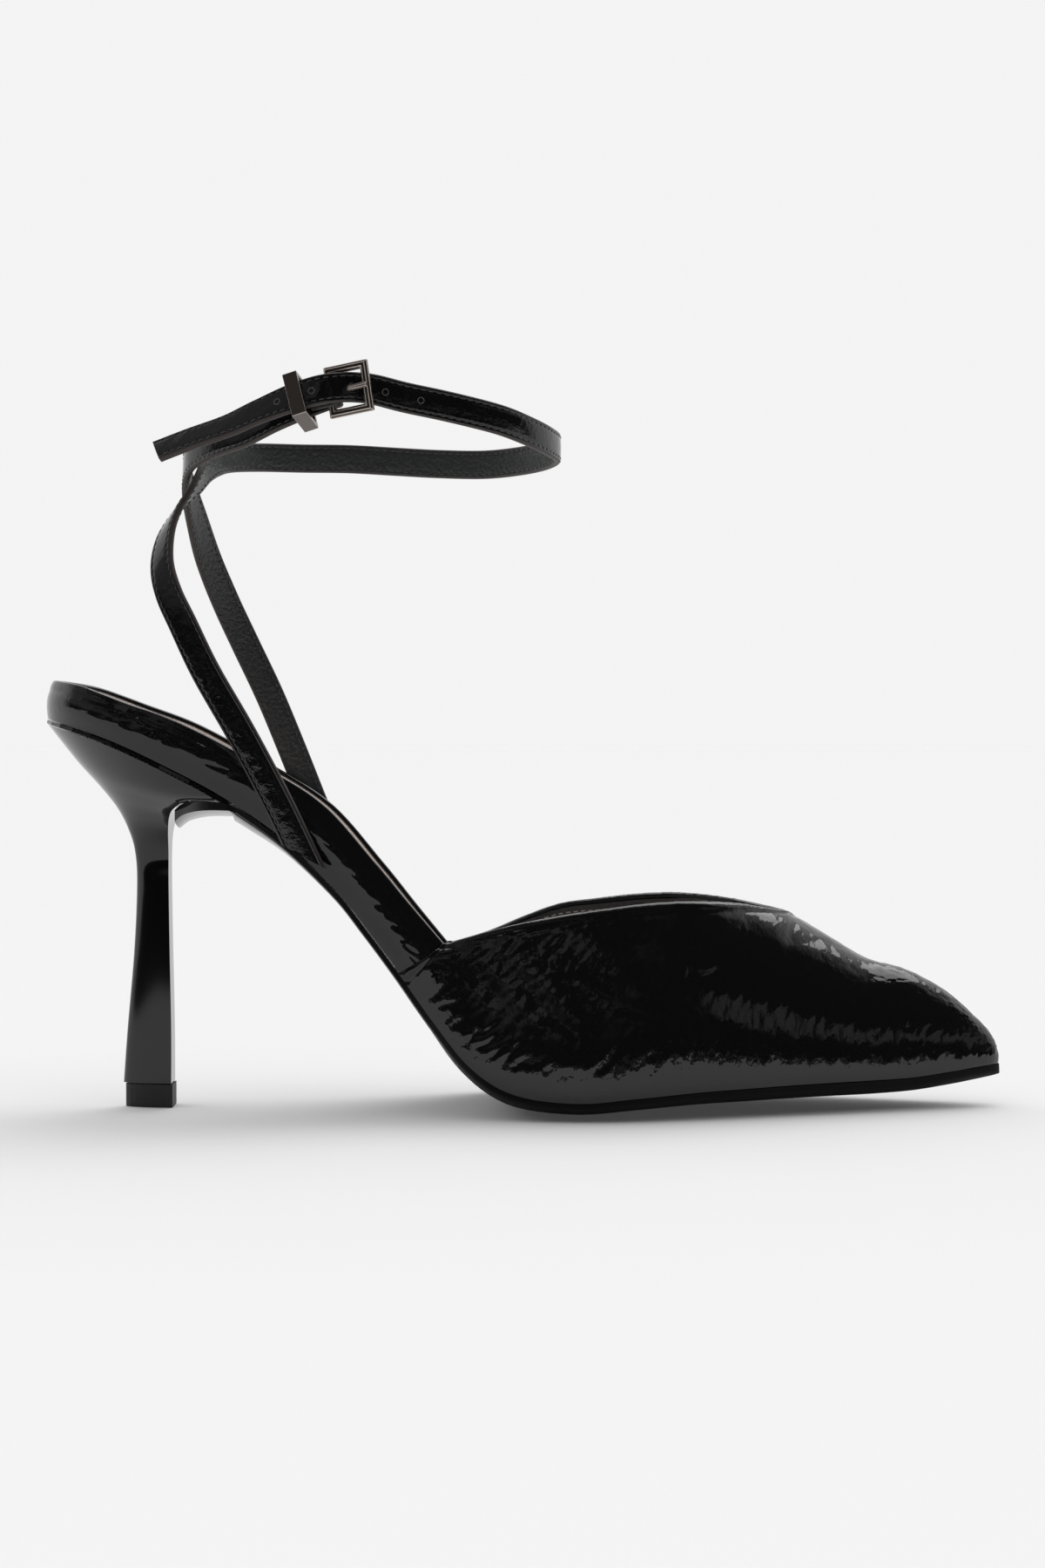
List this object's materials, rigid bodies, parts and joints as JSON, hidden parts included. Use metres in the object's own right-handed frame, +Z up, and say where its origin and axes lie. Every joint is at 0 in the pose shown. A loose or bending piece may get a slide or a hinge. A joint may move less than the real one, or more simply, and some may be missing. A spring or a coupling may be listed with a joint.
{
  "type": "ankle strap pump",
  "caption": "Pointed high-heeled pump with a closed vamp, low quarter band, open heel and a buckled ankle strap on two crossing risers.",
  "frame": {"origin": "centre of the bounding box on the floor", "axes": "+X to the toe, -Y to the lateral side, +Z up"},
  "size_m": [0.2284, 0.0761, 0.1748],
  "materials": {
    "upper_patent": "crinkled black patent, dark lining in the vamp, pale lining in the quarter",
    "outsole_black": "black, semi-gloss, paler on the shank",
    "insole_board": "plain board",
    "sock_leather": "pale beige smooth lining leather",
    "heel_gloss": "smooth high-gloss black cover",
    "lift_rubber": "matte black rubber",
    "strap_patent": "crinkled black patent outside, charcoal lining inside, stitched along both edges",
    "buckle_metal": "dark antique nickel with bright worn edges"
  },
  "bodies": {
    "root": {"upper": "upper_patent", "outsole": "outsole_black", "insole": "insole_board", "sock": "sock_leather", "seat_rand": "heel_gloss", "heel": "heel_gloss", "top_lift": "lift_rubber", "long_strap": "strap_patent", "short_strap": "strap_patent", "buckle_frame": "buckle_metal", "buckle_prong": "buckle_metal", "keeper": "buckle_metal"}
  },
  "joints": []
}
